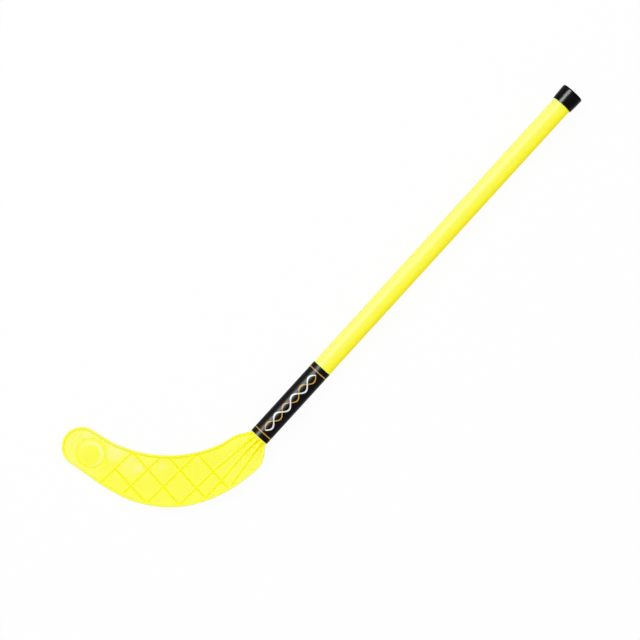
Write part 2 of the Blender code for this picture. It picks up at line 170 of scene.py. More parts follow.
# Collar, the spigot past it with its core, and the clearance between pieces that are pushed together
COLLAR_SHOWN = 2.0 * MM
COLLAR_HIDDEN = 8.0 * MM
COLLAR_ROUND = 0.35 * MM
COLLAR_STEPS = 160
SPIGOT_REACH = 62.3 * MM
SPIGOT_CHAMFER = 1.2 * MM
CORE_RADIUS = 7.0 * MM
CORE_DEPTH = 50.0 * MM
SEAT_GAP = 0.3 * MM

# Tube and film: steps round and along, chamfers, and the film's lap with its angle
ROUND_STEPS = 192
FILM_STEPS = 256
LENGTH_STEPS = 60
TUBE_CHAMFER = 0.5 * MM
FILM_CHAMFER = 0.08 * MM
LAP_RISE = 0.12 * MM
LAP_HALF = 3.0 * MM
LAP_SLOPE = 0.05 * MM
LAP_ANGLE = 1.5 * math.pi

# Cap: radius at its mouth and at its end, rounds there, and points of its swell and rounds
CAP_MOUTH_RADIUS = 15.45 * MM
CAP_END_RADIUS = 16.38 * MM
CAP_MOUTH_ROUND = 0.4 * MM
CAP_END_ROUND = 2.0 * MM
SWELL_POINTS = 20
CORNER_POINTS = 5
CAP_END_POINTS = 9

# Meshes: how near two points merge, and the least angle between faces that stays sharp
MERGE_DISTANCE = 0.002 * MM
SHARP_ANGLE = math.radians(40.0)

# Painted highlight spots of the blade: place, full and outer radius (all in mm), share. Then spots
# where the painted highlight along the top is left out, a painted shade spot in the toe's disc, and a
# spot placed from the disc's middle that takes away the disc's painted highlight but for a pale
# crescent
HIGHLIGHT_SPOTS = [
    (-147.0, 133.0, 6.0, 20.0, 0.90), (-149.5, 163.0, 2.0, 7.0, 0.90),
    (-155.8, 175.9, 3.0, 11.0, 1.00), (-143.0, 94.0, 4.0, 13.0, 0.65),
    (-119.0, 71.5, 2.0, 9.0, 0.45), (-78.7, 41.5, 2.0, 8.0, 0.30),
]
PLAIN_SPOTS = [(-171.9, 154.4, 17.0, 22.0, 1.0), (-169.0, 123.0, 9.0, 24.0, 0.9)]
SHADE_SPOT = (-173.0, 157.0, 5.0, 14.0, 0.12)
DISC_SPOT = (-3.4, 0.8, 13.0, 18.0, 1.0)

# Film's print in mm: its middle, its way round, the ribbons, and where a ring starts and ends
PRINT_MIDDLE = 63.8
PRINT_ROUND = 90.2
RIBBON_SWING = 5.2
RIBBON_PACE = 5.4
RIBBON_REACH = 51.0
WHITE_HALF = 1.25
GOLD_HALF = 0.85
GOLD_RING = (55.0, 56.2)

# How much the plastics mirror, and the light and grey parts of the screws' zinc
BLADE_MIRROR = 0.022
TUBE_MIRROR = 0.031
BLACK_MIRROR = 0.045
ZINC_LIGHT = (0.62, 0.62, 0.60, 1.0)
ZINC_GREY = (0.50, 0.49, 0.46, 1.0)

# Studio: the floor, how much of it is plain white to the camera, and how far the camera sees
FLOOR_HALF = 6.0
FLOOR_DROP = 0.3 * MM
FLOOR_GLOW = 0.95
CAMERA_REACH = 50.0
WHITE = (1.0, 1.0, 1.0, 1.0)


def amount_prop(name, description, default, unit="LENGTH"):
    """A length or another amount that a user can change."""
    return FloatProperty(name=name, description=description, default=default, min=0.0, unit=unit)


def lean_prop(name, description, degrees):
    """An angle that a user can change."""
    return FloatProperty(name=name, description=description, default=math.radians(degrees),
                         unit="ROTATION")


def plane_prop(name, description, default):
    """Two lengths along and across the shaft that a user can change."""
    return FloatVectorProperty(name=name, description=description, default=default, size=2,
                               unit="LENGTH")


def colour_prop(name, description, default):
    """A colour that a user can change."""
    return FloatVectorProperty(name=name, description=description, default=default,
                               subtype="COLOR", min=0.0, max=1.0)


class StickSizes(bpy.types.PropertyGroup):
    """Sizes of the stick that a user would change."""

    shaft_diameter: amount_prop("Shaft diameter", "Outside diameter of the tube", SHAFT_DIAMETER)
    shaft_wall: amount_prop("Shaft wall", "Wall of the tube", 2.5 * MM)
    film_gap: amount_prop("Film gap", "Clearance between the tube and the film", 0.1 * MM)
    film_thickness: amount_prop("Film thickness", "Thickness of the printed film", 0.25 * MM)
    web_thickness: amount_prop("Web thickness", "Thickness of the blade between its ribs", 3.6 * MM)
    rim_thickness: amount_prop("Rim thickness", "Thickness of the blade across its rim", RIM_THICKNESS)
    rim_width: amount_prop("Rim width", "Width of the rim at its foot", 5.0 * MM)
    rib_rise: amount_prop("Rib rise", "How far the ribs stand out of the web", 1.2 * MM)
    neck_length: amount_prop(
        "Neck length", "How far the neck's roundness runs into the blade", 78.0 * MM)
    flute_depth: amount_prop("Flute depth", "Depth of the flutes at the collar", 2.6 * MM)
    disc_radius: amount_prop(
        "Disc radius", "Middle radius of the groove round the toe's disc", 20.0 * MM)
    disc_rise: amount_prop("Disc rise", "How far the toe's disc is domed", 1.4 * MM)
    groove_depth: amount_prop("Groove depth", "Depth of the groove round the disc", 0.9 * MM)


class StickColours(bpy.types.PropertyGroup):
    """Colours of the stick's plastics and print."""

    blade_yellow: colour_prop("Blade yellow", "Colour of the moulded blade", (0.985, 0.975, 0.083))
    # Painted highlight of the blade and of the tube's lit side, also the tube's pale drawn lines
    highlight_and_line_yellow: colour_prop(
        "Pale yellow", "Colour of the blade where its plastic is thinnest", (0.985, 0.975, 0.31))
    tube_yellow: colour_prop("Tube yellow", "Colour of the extruded tube", (0.985, 0.965, 0.031))
    # Painted shade of the blade, also its random deeper mottling
    shade_and_mottle_yellow: colour_prop(
        "Deep yellow", "Colour that the blade turns to in thick places", (0.98, 0.96, 0.0025))
    # Amber painted shade near the collar and on the tube's shaded side
    shade_amber: colour_prop(
        "Amber yellow", "Colour of the thickest plastic, round the collar", (0.97, 0.72, 0.003))
    film_black: colour_prop("Film black", "Ground colour of the printed film", (0.002, 0.002, 0.003))
    print_white: colour_prop("Print white", "Light ink of the film's pattern", (0.80, 0.80, 0.78))
    print_gold: colour_prop("Print gold", "Warm ink of the film's pattern", (0.62, 0.36, 0.05))
    cap_black: colour_prop("Cap black", "Colour of the end cap", (0.0006, 0.0006, 0.0006))
    cap_grey: colour_prop("Cap grey", "Colour that the end cap clouds over to", (0.002, 0.002, 0.002))


class StudioSettings(bpy.types.PropertyGroup):
    """Camera, lamps and floor."""

    lens: FloatProperty(
        name="Lens", description="Focal length on a sensor 36 mm wide",
        default=190.0, min=1.0, unit="CAMERA")
    distance: amount_prop("Distance", "Camera's distance from the blade's plane", 4.6248)
    aim: plane_prop("Aim", "Point in the stick's axes at the middle of the picture", (0.17445, 0.04627))
    sheen_power: amount_prop(
        "Sheen power", "Power of the soft box that only shows as a reflection", 560.0, "POWER")
    sheen_size: plane_prop("Sheen size", "Sheen box along and across the shaft", (1.7, 1.0))
    sheen_lean: lean_prop("Sheen lean", "Lean of the sheen box from straight overhead", 35.0)
    sheen_distance: amount_prop("Sheen distance", "Distance of the sheen box from the shaft", 2.2)
    key_power: amount_prop("Key power", "Power of the large soft box", 32.0, "POWER")
    key_size: plane_prop("Key size", "Soft box along and across the shaft", (3.0, 3.0))
    key_lean: lean_prop("Key lean", "Lean of the soft box from straight overhead", 22.0)
    key_distance: amount_prop("Key distance", "Distance of the soft box from the shaft", 3.0)
    fill_power: amount_prop(
        "Fill power", "Power of the soft box that lifts the shaded side", 13.0, "POWER")
    fill_size: plane_prop("Fill size", "Fill box along and across the shaft", (3.0, 3.0))
    fill_lean: lean_prop("Fill lean", "Lean of the fill box, away from the toe's side", -60.0)
    fill_distance: amount_prop("Fill distance", "Distance of the fill box from the shaft", 3.0)
    lamps_along: FloatProperty(
        name="Lamps along", description="Place of the soft boxes along the shaft",
        default=0.35, unit="LENGTH")
    room_strength: FloatProperty(
        name="Room", description="Strength of the even light from all round", default=0.68, min=0.0)
    floor_colour: colour_prop("Floor", "Colour of the floor", (0.75, 0.75, 0.75))


# Shader maths

class Flow:
    """An output socket, so that shader maths can be written as Python expressions."""

    def __init__(self, tree, socket=None):
        self.tree = tree
        self.socket = socket

    def node(self, kind, settings=None, inputs=None, output=0):
        """Any node: its settings first, then the values or links of its sockets; gives one output."""
        made = self.tree.nodes.new(kind)
        for name, value in (settings or {}).items():
            setattr(made, name, value)
        for key, value in (inputs or {}).items():
            plug(made.inputs[key], value)
        return Flow(self.tree, made.outputs[output])

    def math(self, operation, *values):
        """A Math node on values or flows."""
        return self.node("ShaderNodeMath", {"operation": operation}, dict(enumerate(values)))

    def __add__(self, other):
        return self.math("ADD", self, other)

    def __sub__(self, other):
        return self.math("SUBTRACT", self, other)

    def __rsub__(self, other):
        return self.math("SUBTRACT", other, self)

    def __mul__(self, other):
        return self.math("MULTIPLY", self, other)

    def __truediv__(self, other):
        return self.math("DIVIDE", self, other)

    def __rtruediv__(self, other):
        return self.math("DIVIDE", other, self)

    def __gt__(self, other):
        return self.math("GREATER_THAN", self, other)

    def __lt__(self, other):
        return self.math("LESS_THAN", self, other)

    __radd__ = __add__
    __rmul__ = __mul__

    def most(self, other):
        """The larger of this value and another."""
        return self.math("MAXIMUM", self, other)

    def size(self):
        """Absolute value."""
        return self.math("ABSOLUTE", self)

    def between(self, low, high):
        """One where the value lies between two limits, else zero."""
        return (self > low) * (self < high)

    def ease(self, low, high, start=0.0, end=1.0):
        """Smooth step from start to end as the value goes from low to high."""
        limits = {"From Min": low, "From Max": high, "To Min": start, "To Max": end}
        return self.node("ShaderNodeMapRange", {"interpolation_type": "SMOOTHSTEP"},
                         {"Value": self, **limits})

    def tint(self, under, over):
        """Mix of two colours with this value as the share of the second."""
        return self.node("ShaderNodeMix", {"data_type": "RGBA"}, {0: self, 6: under, 7: over}, 2)

    def noise(self, scale, detail=2.0, roughness=0.5):
        """Noise between 0 and 1 read at this vector."""
        return self.node("ShaderNodeTexNoise", None,
                         {"Vector": self, "Scale": scale, "Detail": detail, "Roughness": roughness})

    def with_vector(self, operation, vector, output=0):
        """A Vector Math node on this vector and a fixed one."""
        return self.node("ShaderNodeVectorMath", {"operation": operation}, {0: self, 1: vector}, output)

    def stretched(self, x, y, z):
        """This vector with each part scaled."""
        return self.with_vector("MULTIPLY", (x, y, z))

    def dot(self, x, y, z):
        """Dot product of this vector with fixed numbers."""
        return self.with_vector("DOT_PRODUCT", (x, y, z), 1)

    def away(self, x, y, z):
        """Distance of this vector from a fixed point."""
        return self.with_vector("DISTANCE", (x, y, z), 1)

    def part(self, index):
        """One part of this vector."""
        return self.node("ShaderNodeSeparateXYZ", None, {0: self}, index)


def new_material(name):
    """Empty Principled material; gives it, its shader and its place in the stick's axes in mm."""
    material = bpy.data.materials.new(name)
    material.use_nodes = True
    tree = material.node_tree
    at = Flow(tree).node("ShaderNodeTexCoord", output="Object")
    place = at.node("ShaderNodeMapping", {"vector_type": "TEXTURE"}, {
        "Vector": at, "Location": STICK.translation,
        "Rotation": (-REST_ROLL, 0.0, 0.0), "Scale": (MM, MM, MM),
    })
    return material, tree.nodes["Principled BSDF"], place


def turn_about_shaft(place):
    """Angle about the shaft: 0 at the front, and positive towards the toe's side."""
    return place.math("ARCTAN2", place.part(1), place.part(2))


def plug(socket, value):
    """Set a socket to a value, or link it to a flow."""
    if isinstance(value, Flow):
        value.tree.links.new(value.socket, socket)
    else:
        socket.default_value = value


def feed(shader, **sockets):
    """Set or link sockets of a shader by name, with _ for a space."""
    for name, value in sockets.items():
        plug(shader.inputs[name.replace("_", " ")], value)


def bump(height, distance):
    """Normal from a height between 0 and 1."""
    return height.node("ShaderNodeBump", None, {"Height": height, "Distance": distance})


def rgba(colour):
    """A colour property with full alpha."""
    return (*colour, 1.0)


# Shapes

def joined(*parts):
    """Coordinates side by side in a last axis, each spread to the shape that they share."""
    return np.stack(np.broadcast_arrays(*parts), axis=-1)


def spline(points, steps):
    """Centripetal Catmull-Rom curve through the points, steps pieces between neighbours."""
    points = np.asarray(points)
    ends = np.vstack([2 * points[0] - points[1], points, 2 * points[-1] - points[-2]])
    curve = []
    for i in range(len(points) - 1):
        p = ends[i:i + 4]
        t = np.concatenate([[0.0], np.cumsum(np.linalg.norm(np.diff(p, axis=0), axis=1) ** 0.5)])
        s = np.linspace(t[1], t[2], steps, endpoint=False)[:, None]
        a = [p[j] + (p[j + 1] - p[j]) * (s - t[j]) / (t[j + 1] - t[j]) for j in range(3)]
        b = [a[j] + (a[j + 1] - a[j]) * (s - t[j]) / (t[j + 2] - t[j]) for j in range(2)]
        curve.append(b[0] + (b[1] - b[0]) * (s - t[1]) / (t[2] - t[1]))
    return np.vstack(curve + [points[-1:]])


def evenly(curve, spacing):
    """The same line with points a near-even distance apart, both ends kept."""
    run = np.concatenate([[0.0], np.cumsum(np.linalg.norm(np.diff(curve, axis=0), axis=1))])
    at = np.linspace(0.0, run[-1], max(int(run[-1] / spacing), 1) + 1)
    return joined(*(np.interp(at, run, curve[:, k]) for k in (0, 1)))


def to_stick(sketch):
    """Turn sketch points (u, v) into the stick's axes (x, y)."""
    c, s = math.cos(LIE_ANGLE), math.sin(LIE_ANGLE)
    u, v = sketch[..., 0], sketch[..., 1]
    return joined(u * c + v * s, v * c - u * s)


def touching_angle(point, side):
    """Direction from the toe centre to where a straight line from the point touches the arc."""
    away = point - TOE_CENTRE
    half = math.acos(min(TOE_RADIUS / np.linalg.norm(away), 1.0))
    return math.atan2(away[1], away[0]) + side * half


def blade_outline(shaft_radius, rim_half, spacing):
    """Closed outline: collar, upper edge, arc round the toe, lower edge and heel, collar."""
    root = math.sqrt(shaft_radius ** 2 - rim_half ** 2)
    first = touching_angle(UPPER_EDGE[-1], 1)
    last = touching_angle(LOWER_EDGE[0], -1) % (2 * math.pi)
    angle = np.linspace(first, last, ARC_POINTS)
    toe = TOE_CENTRE + TOE_RADIUS * joined(np.cos(angle), np.sin(angle))
    upper = spline(np.vstack([[(EDGE_START, root)], to_stick(UPPER_EDGE)]), EDGE_STEPS)
    lower = spline(np.vstack([to_stick(LOWER_EDGE), [(EDGE_START, -root)]]), EDGE_STEPS)
    line = np.vstack([[(EDGE_LAP, root)], upper, to_stick(toe), lower, [(EDGE_LAP, -root)]])
    return evenly(line, spacing)


def unit(steps):
    """Vectors (n, 2) brought to a length of one."""
    return steps / np.linalg.norm(steps, axis=1)[:, None]


def inset(loop, distance):
    """The loop moved inwards by a distance, with mitred corners."""
    back = unit(loop - np.roll(loop, 1, axis=0))
    ahead = unit(np.roll(loop, -1, axis=0) - loop)
    middle = unit(back + ahead)
    inward = joined(-middle[:, 1], middle[:, 0])
    return loop + inward * distance / np.sum(middle * ahead, axis=1)[:, None]


def edge_distance(loop, points):
    """Shortest distance from each point to the loop's sides."""
    side = np.roll(loop, -1, axis=0) - loop
    away = points[:, None] - loop
    along = np.clip(np.sum(away * side, axis=2) / np.sum(side * side, axis=1), 0.0, 1.0)
    return np.linalg.norm(away - along[..., None] * side, axis=2).min(axis=1)


def inside(loop, points):
    """True for points inside the loop, by the even-odd rule."""
    x, y = points[:, 0, None], points[:, 1, None]
    x0, y0 = loop[:, 0], loop[:, 1]
    x1, y1 = np.roll(x0, -1), np.roll(y0, -1)
    rise = np.where(y1 == y0, 1.0, y1 - y0)
    crossing = x0 + (y - y0) * (x1 - x0) / rise
    return np.sum(((y0 > y) != (y1 > y)) & (x < crossing), axis=1) % 2 == 1


def arc(centre, radius, start, end, steps):
    """Points of a circular arc, angles in degrees."""
    angle = np.radians(np.linspace(start, end, steps))
    return joined(centre[0] + radius * np.cos(angle), centre[1] + radius * np.sin(angle))


def full_turn(steps):
    """Even angles of one turn, its end left out."""
    return np.arange(steps) * 2 * math.pi / steps


def soft_max(a, b):
    """The larger of two heights, with a rounded change: fourth root of the sum of fourth powers."""
    return (a ** 4 + b ** 4) ** 0.25


def grid_faces(rows, columns):
    """Quads of a grid of points counted row by row, its last column joined to its first."""
    i, j = np.meshgrid(np.arange(rows - 1), np.arange(columns), indexing="ij")
    k = (j + 1) % columns
    here, next_row = i * columns, (i + 1) * columns
    return joined(here + j, here + k, next_row + k, next_row + j).reshape(-1, 4).tolist()


class Shells:
    """Collects grids of points and gives one mesh with equal points merged.

    Each point carries its painted shading: painted shade above zero, a painted highlight below.
    """

    def __init__(self):
        self.points = []
        self.painted_shadings = []
        self.faces = []
        self.count = 0

    def add(self, points, faces, tone=0.0):
        """Any points (n, 3) with their faces, and one painted shading value for each point or for all.
        """
        self.points.append(points)
        self.painted_shadings.append(np.broadcast_to(tone, len(points)))
        self.faces += [[corner + self.count for corner in face] for face in faces]
        self.count += len(points)

    def grid(self, points, tone=0.0, flip=False, capped=False):
        """A surface of two parameters, points (rows, columns, 3), its columns closed to a loop.

        capped gives it flat ends, which makes a loft through closed rings a body.
        """
        rows, columns = points.shape[:2]
        faces = grid_faces(rows, columns)
        if flip:
            faces = [face[::-1] for face in faces]
        if capped:
            faces += [list(range(columns))[::-1], list(range((rows - 1) * columns, rows * columns))]
        self.add(points.reshape(-1, 3), faces, np.broadcast_to(tone, (rows, columns)).reshape(-1))

    def mesh(self, name):
        """The merged mesh in world axes, shaded smooth apart from its sharp edges."""
        points = np.vstack(self.points)
        keys = np.round(points / MERGE_DISTANCE).astype(np.int64)
        first, lookup = np.unique(keys, axis=0, return_index=True, return_inverse=True)[1:]
        lookup = lookup.reshape(-1).tolist()
        faces = []
        for face in self.faces:
            merged = list(dict.fromkeys(lookup[corner] for corner in face))
            if len(merged) > 2:
                faces.append(merged)
        mesh = bpy.data.meshes.new(name)
        mesh.from_pydata(in_world(points[first]).tolist(), [], faces)
        # Painted shade and painted highlight of each point, read by the blade's material
        tone = mesh.attributes.new("tone", "FLOAT", "POINT")
        tone.data.foreach_set("value", np.concatenate(self.painted_shadings)[first].astype(np.float32))
        mesh.validate()
        mesh.shade_smooth()
        mesh.set_sharp_from_angle(angle=SHARP_ANGLE)
        return mesh


def in_world(points):
    """Points of the stick's axes in the model's frame."""
    matrix = np.array(STICK)
    return points @ matrix[:3, :3].T + matrix[:3, 3]


def rest_roll():
    """Turn about the shaft that lays the toe's rim and the cap on one floor."""
    cap, rim = (CAP_HIGH.z - CAP_LOW.z) / 2, RIM_THICKNESS / 2
    toe = blade_outline(SHAFT_DIAMETER / 2, rim, ROLL_SPACING)[:, 1].max()
    return math.asin(cap / math.hypot(toe, rim)) - math.atan2(rim, toe)


# The stick's axes in the model's frame, turned about the shaft and from the film's lower end
REST_ROLL = rest_roll()
MIDDLE = (TUBE_LOW + TUBE_HIGH) / 2
STICK = Matrix.Translation((FILM_LOW.x, MIDDLE.y, MIDDLE.z)) @ Matrix.Rotation(-REST_ROLL, 4, "X")


def turned(shells, profile, steps, rise=0.0):
    """Turn a profile of (radius, x) points about the shaft; rise is added to the radius."""
    angle = full_turn(steps)
    radius, x = profile[:, :1] + rise, profile[:, 1:]
    shells.grid(joined(x, radius * np.cos(angle), radius * np.sin(angle)))


def sleeve(inner, outer, start, end, edge):
    """Closed profile of a sleeve whose outer edges are chamfered, as (radius, x) points."""
    return np.vstack([
        [(inner, end), (inner, start), (outer - edge, start)],
        joined(outer, np.linspace(start + edge, end - edge, LENGTH_STEPS)),
        [(outer - edge, end), (inner, end)],
    ])


def piece(name, shells, material, node):
    """A finished object that rides on the stick and stands for a CAD node."""
    mesh = shells.mesh(name)
    mesh.materials.append(material)
    obj = bpy.data.objects.new(name, mesh)
    bpy.context.scene.collection.objects.link(obj)
    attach(obj, "root")
    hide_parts(node)


# Blade

def rim_section(sizes):
    """Section of the rim from the web's front foot over the top and side to the back foot.

    Its points are distances in from the outline and heights. The inner slope is half a cosine
    wave from the web up to the crest.
    """
    top, web = sizes.rim_thickness / 2, sizes.web_thickness / 2
    share = np.linspace(0.0, 1.0, SLOPE_POINTS)
    slope = joined(sizes.rim_width + (RIM_CREST - sizes.rim_width) * share,
                   web + (top - web) * (0.5 - 0.5 * np.cos(np.pi * share)))
    front = np.vstack([
        slope,
        arc((RIM_DRAFT + RIM_ROUND, top - RIM_ROUND), RIM_ROUND, 90.0, 180.0, ROUND_POINTS),
        [(RIM_DRAFT, PARTING_FOOT), (RIM_DRAFT - PARTING_RISE, PARTING_TOP)],
    ])
    return np.vstack([front, front[::-1] * (1, -1)])


def disc_section(sizes):
    """Section of the toe's disc from its middle over the dome and groove to the web.

    The dome is a parabola of the radius that ends in the groove, and the groove a power of a
    cosine bell round the groove radius.
    """
    radius = sizes.disc_radius
    inner, outer = radius - GROOVE_HALF, radius + GROOVE_HALF
    r = np.concatenate([
        np.linspace(0.0, inner, DISC_POINTS + 1)[:-1], np.linspace(inner, outer, DISC_POINTS),
    ])
    fade = np.clip((radius - r) / GROOVE_HALF + 0.5, 0.0, 1.0)
    dome = sizes.disc_rise * (1 - (r / radius) ** 2) * fade
    bell = 0.5 + 0.5 * np.cos(np.pi * np.clip((r - radius) / GROOVE_HALF, -1.0, 1.0))
    height = sizes.web_thickness / 2 + dome - sizes.groove_depth * bell ** GROOVE_POWER
    return joined(r, height)


def add_rim(shells, sizes, outline):
    """Rim and side of the blade, inset copies of the outline; gives the loop of its front foot.

    Its painted shading follows half a sine wave up the slope: painted shade where the slope faces away
    from the light, and a little painted highlight where it faces it.
    """
    section = rim_section(sizes)
    web, rim = sizes.web_thickness, sizes.rim_thickness
    rings = [np.column_stack([inset(outline, d), np.full(len(outline), z)]) for d, z in section]
    ahead = np.roll(outline, -1, axis=0) - np.roll(outline, 1, axis=0)
    outward = unit(joined(ahead[:, 1], -ahead[:, 0]))
    # Share of painted shade by how far the rim faces the shaded side; the rest gets a painted highlight
    shaded = np.clip((outward @ to_stick(SHADED_SIDE) + SHADE_START) / SHADE_RAMP, 0.0, 1.0)
    climb = (np.abs(section[:, 1]) - web / 2) / (rim - web) * 2
    wave = np.sin(np.pi * np.clip(climb, 0.0, 1.0)) ** 0.5
    on_slope = np.where(section[:, 0] > SLOPE_END, wave, 0.0)[:, None]
    shells.grid(np.array(rings), on_slope * (shaded - RIM_HIGHLIGHT * (1.0 - shaded)), flip=True)
    return rings[0][:, :2]


def add_disc(shells, sizes):
    """The toe's disc on both faces, its section turned about its middle; gives its outer loop."""
    section = disc_section(sizes)
    angle = full_turn(DISC_STEPS)
    centre = to_stick(DISC_CENTRE)
    x = centre[0] + section[:, :1] * np.cos(angle)
    y = centre[1] + section[:, :1] * np.sin(angle)
    z = section[:, 1:]
    # Painted shade in the groove round the disc
    groove_shade = GROOVE_SHADE * np.exp(-((section[:, :1] - sizes.disc_radius) / GROOVE_SPREAD) ** 2)
    shells.grid(joined(x, y, z), groove_shade)
    shells.grid(joined(x, y, -z), groove_shade, flip=True)
    return joined(x[-1], y[-1])


def add_web(shells, sizes, edge, hole):
    """Flat web on both faces between the loop of the rim's foot and the disc's outer loop."""
    points = np.vstack([edge, hole])
    loops = [list(range(len(edge))), list(range(len(edge), len(points)))]
    lines = [(loop[i], loop[(i + 1) % len(loop)]) for loop in loops for i in range(len(loop))]
    flat = geometry.delaunay_2d_cdt([Vector(p) for p in points], lines, [], 1, 1e-9)
    corners = np.array([tuple(p) for p in flat[0]])
    faces = np.array(flat[2])
    middle = corners[faces].mean(axis=1)
    faces = faces[inside(edge, middle) & ~inside(hole, middle)]
    web = sizes.web_thickness / 2
    for height, kept in ((web, faces), (-web, faces[:, ::-1])):
        shells.add(np.column_stack([corners, np.full(len(corners), height)]), kept.tolist())


def span(outline, x):
    """Lowest and highest y of the outline at each x of the neck."""
    (x0, y0), (x1, y1) = outline.T, np.roll(outline, -1, axis=0).T
    x = x[:, None]
    y = y0 + (x - x0) / np.where(x1 == x0, 1.0, x1 - x0) * (y1 - y0)
    hit = (x0 > x) != (x1 > x)
    return np.where(hit, y, np.inf).min(axis=1), np.where(hit, y, -np.inf).max(axis=1)


def roundness(sizes, x):
    """Share of the neck's roundness left at x, a power of the way to the collar: none past the neck."""
    return np.clip(1.0 + x / sizes.neck_length, 0.0, 1.0) ** NECK_POWER


def neck_height(sizes, x, share):
    """Height of neck and web: an ellipse over share, -1 to 1 across, that melts into the web."""
    depth = (sizes.shaft_diameter / 2 - sizes.flute_depth) * roundness(sizes, x)
    return soft_max(sizes.web_thickness / 2, depth * np.sqrt(1 - share ** 2))


def add_neck(shells, sizes, outline):
    """Loft of rounded sections from the collar into the web."""
    x = np.linspace(NECK_START, -sizes.neck_length, NECK_SECTIONS)
    share = np.cos(np.linspace(0.0, np.pi, NECK_POINTS))[None, :]
    low, high = span(outline, x)
    x = x[:, None]
    y = (low + high)[:, None] / 2 + ((high - low)[:, None] / 2 - NECK_EDGE) * share
    z = neck_height(sizes, x, share) - NECK_SINK
    # Painted shade, up to amber, on the neck near the collar where its flutes are deep
    near = np.clip(1.0 + (x - NECK_START) / NECK_SHADE_REACH, 0.0, 1.0)
    rings = np.concatenate([joined(x, y, z), joined(x, y, -z)[:, ::-1]], axis=1)[::-1]
    shells.grid(rings, NECK_SHADE * near[::-1], capped=True)


def base_height(sizes, outline, points):
    """Height of web and neck under each point (n, 2)."""
    x = points[:, 0]
    readings = np.linspace(x.min(), x.max() + 1e-6, NECK_READINGS)
    low, high = span(outline, np.clip(readings, outline[:, 0].min() + MM, READING_END))
    low, high = np.interp(x, readings, low), np.interp(x, readings, high)
    half = (high - low) / 2 - NECK_EDGE
    share = np.clip((points[:, 1] - (low + high) / 2) / half, -1.0, 1.0)
    return neck_height(sizes, x, share)


def add_rib(shells, sizes, outline, path, keep, crest_at, stations, lean):
    """A rounded bar along a path on both faces, its section half a sine wave squared.

    Each line along the bar is the path set off sideways and cut where keep ends it, so that
    the bar's ends follow the rim however they meet it. lean moves the painted shade to the flank on
    the path's left, or to its right below zero, and puts a painted highlight on the other flank.
    """
    heading = unit(np.gradient(path, axis=0))
    across = joined(-heading[:, 1], heading[:, 0])
    offsets = np.linspace(RIB_WIDTH / 2, -RIB_WIDTH / 2, RIB_POINTS)
    shares = np.sin(np.pi * offsets / RIB_WIDTH) ** 2
    lines = []
    for offset in offsets:
        line = path + across * offset
        line = line[keep(line)]
        count = np.arange(len(line))
        at = np.linspace(0.0, len(line) - 1.0, stations)
        lines.append(joined(*(np.interp(at, count, line[:, k]) for k in (0, 1))))
    lines = np.array(lines).transpose(1, 0, 2)
    crest = crest_at(lines[:, len(offsets) // 2])[:, None]
    base = base_height(sizes, outline, lines.reshape(-1, 2)).reshape(lines.shape[:2]) - RIB_SINK
    z = crest + (base - crest) * shares
    rings = np.concatenate([np.dstack([lines, z]), np.dstack([lines, -z])[:, ::-1]], axis=1)
    # Painted shade grows towards the collar; each flank gets painted shade or a painted highlight
    near = np.clip(1.0 + lines[:, :1, 0] / RIB_SHADE_REACH, 0.0, 1.0)
    swing = np.sin(2 * np.pi * offsets / RIB_WIDTH)
    side = np.clip(1.0 - shares + lean * swing, 0.0, 1.0)
    side = side - RIB_HIGHLIGHT * abs(lean) * shares * np.clip(-np.sign(lean) * swing, 0.0, 1.0)
    tone = (1.0 + RIB_SHADE * near) * np.concatenate([side, side[::-1]])
    shells.grid(rings, tone, capped=True)


def lattice_line(slope, offset):
    """Straight line at a slope in sketch axes, at a distance from the neck, in the stick's axes."""
    heading = np.array([math.cos(slope), math.sin(slope)])
    normal = np.array([abs(heading[1]), -heading[0] * math.copysign(1.0, slope)])
    along = np.linspace(-LINE_REACH, LINE_REACH, LINE_POINTS)[:, None]
    return to_stick(-normal * offset + heading * along)


def add_ribs(shells, sizes, outline):
    """Rising, falling and fan ribs."""
    coarse = outline[::3]
    rib_half = sizes.web_thickness / 2 + sizes.rib_rise
    radius = sizes.shaft_diameter / 2
    slope, start, pitch, count = RISING
    last = start + pitch * (count - 1)
    to_neck = to_stick(np.array([math.sin(slope), -math.cos(slope)]))

    def within(points):
        """True inside the middle line of the rim."""
        return inside(coarse, points) & (edge_distance(coarse, points) > sizes.rim_width / 2)

    def up_to_last(points):
        """True inside the rim on the neck's side of the last rising rib."""
        return within(points) & (points @ to_neck > -last)

    def level(drop):
        """A crest of one height, lowered by a drop."""
        return lambda points: np.full(len(points), rib_half - drop)

    def ridge(points):
        """A crest on an ellipse that spreads from the collar and melts into the ribs' height."""
        half = radius + np.maximum(-points[:, 0], 0.0) * math.tan(RIDGE_FLARE)
        shoulder = np.minimum((np.abs(points[:, 1]) + RIDGE_SHIFT) / half, 1.0)
        height = (radius - RIDGE_DROP) * roundness(sizes, points[:, 0])
        return soft_max(rib_half, height * np.sqrt(1 - shoulder ** 2))

    for family, keep, drop in ((RISING, within, 0.0), (FALLING, up_to_last, CROSSING_STEP)):
        slope, start, pitch, count = family
        for i in range(count):
            line = lattice_line(slope, start + pitch * i)
            add_rib(shells, sizes, outline, line, keep, level(drop), LATTICE_STATIONS, -RIB_LEAN)
    for path in FAN_PATHS:
        line = spline(path, FAN_STEPS)
        add_rib(shells, sizes, outline, line, within, ridge, FAN_STATIONS, RIB_LEAN)


def add_collar(shells, sizes):
    """Turned collar of the tube's size, and the cored spigot inside the tube."""
    radius, shown = sizes.shaft_diameter / 2, -COLLAR_SHOWN
    spigot = radius - sizes.shaft_wall - SEAT_GAP
    tip = COLLAR_HIDDEN + SPIGOT_REACH
    profile = np.vstack([
        [(0.0, shown)],
        arc((radius - COLLAR_ROUND, shown + COLLAR_ROUND), COLLAR_ROUND, -90.0, 0.0, CORNER_POINTS),
        [(radius, COLLAR_HIDDEN), (spigot, COLLAR_HIDDEN)],
        [(spigot, tip - SPIGOT_CHAMFER), (spigot - SPIGOT_CHAMFER, tip), (CORE_RADIUS, tip)],
        [(CORE_RADIUS, tip - CORE_DEPTH), (0.0, tip - CORE_DEPTH)],
    ])
    turned(shells, profile, COLLAR_STEPS)


